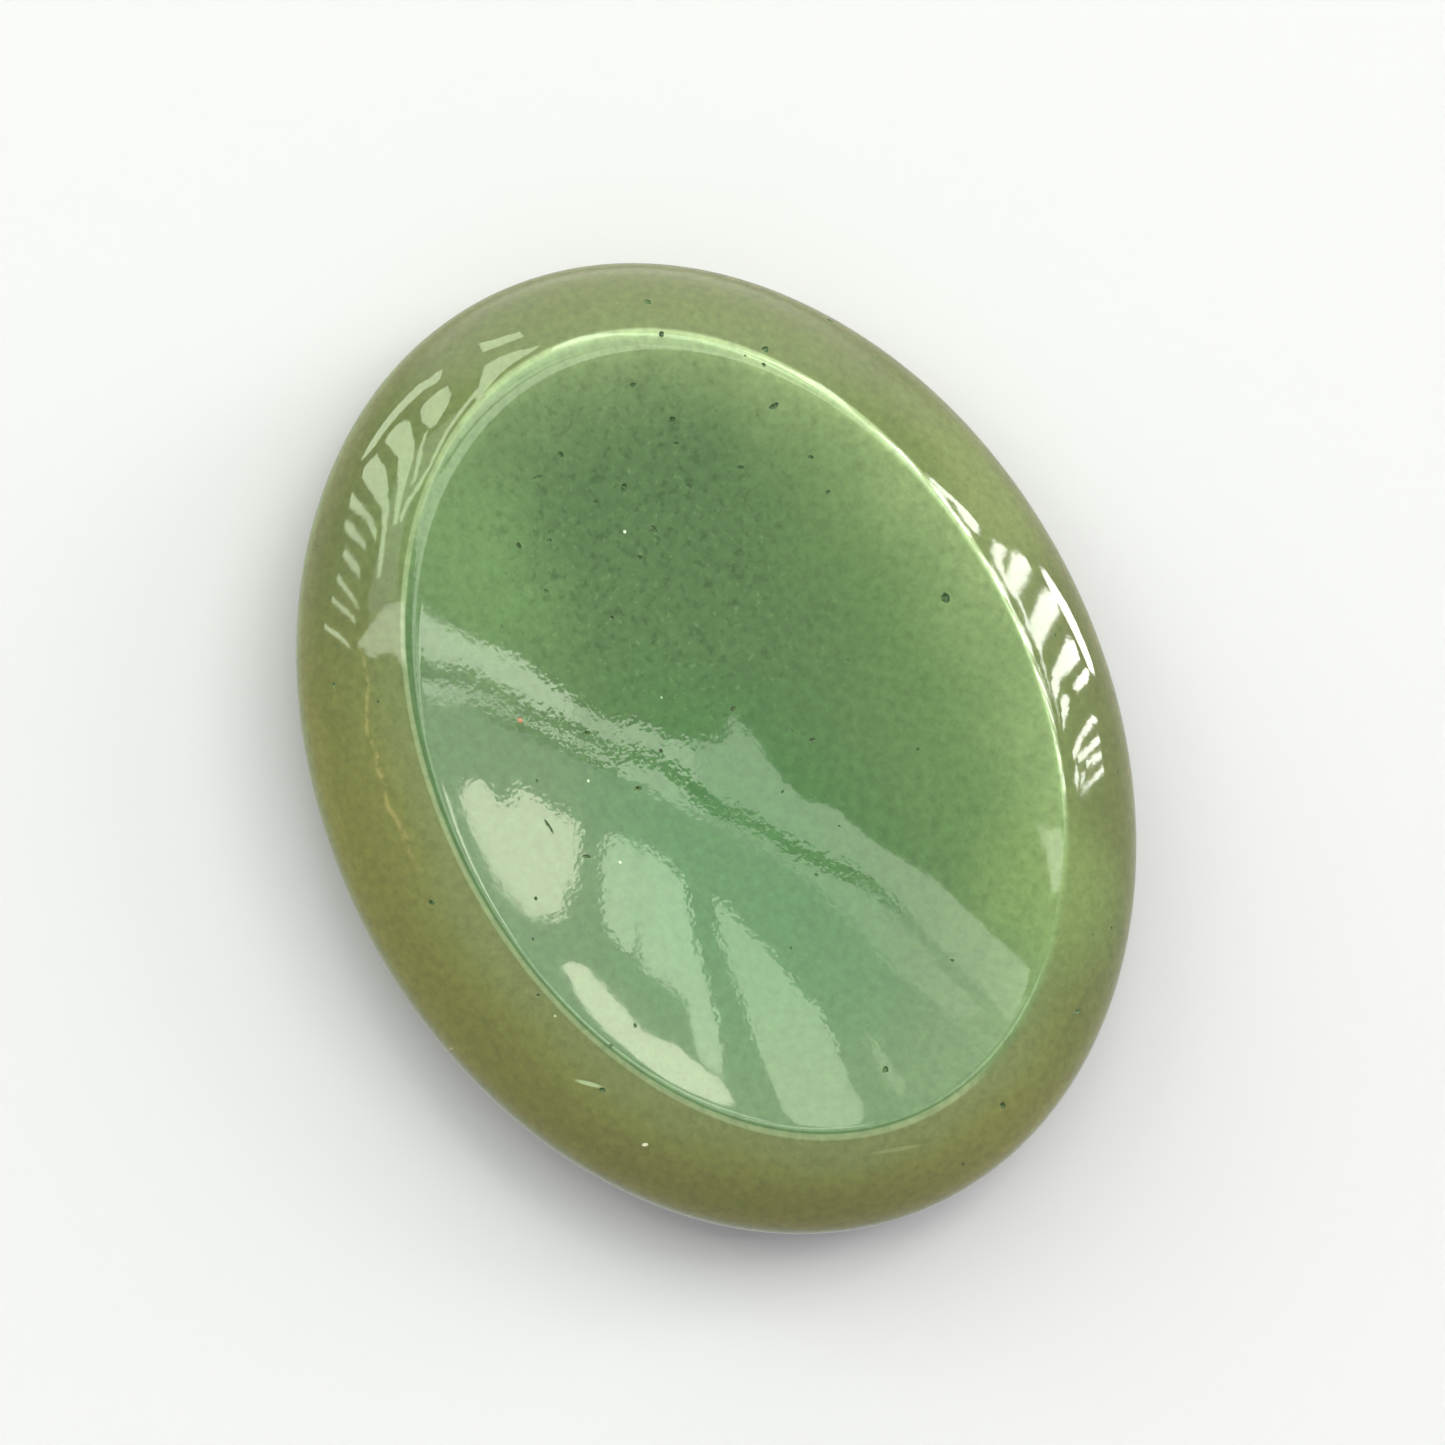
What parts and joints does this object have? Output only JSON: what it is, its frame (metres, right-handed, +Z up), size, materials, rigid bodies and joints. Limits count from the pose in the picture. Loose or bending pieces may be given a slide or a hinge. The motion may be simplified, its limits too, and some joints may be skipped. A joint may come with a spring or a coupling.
{
  "type": "palm stone",
  "caption": "Polished oval palm stone with a shallow thumb hollow, a rolled rim and a gently domed underside that rests on a small flat spot.",
  "frame": {"origin": "middle of the small flat spot that the stone rests on", "axes": "+X along the long axis of the oval, +Y across it, +Z up out of the thumb hollow"},
  "size_m": [0.045, 0.0354, 0.0077],
  "materials": {
    "stone": "polished green aventurine quartz, translucent and waxy, finely mottled, with a glossy surface"
  },
  "bodies": {
    "root": {"palm_stone": "stone"}
  },
  "joints": []
}
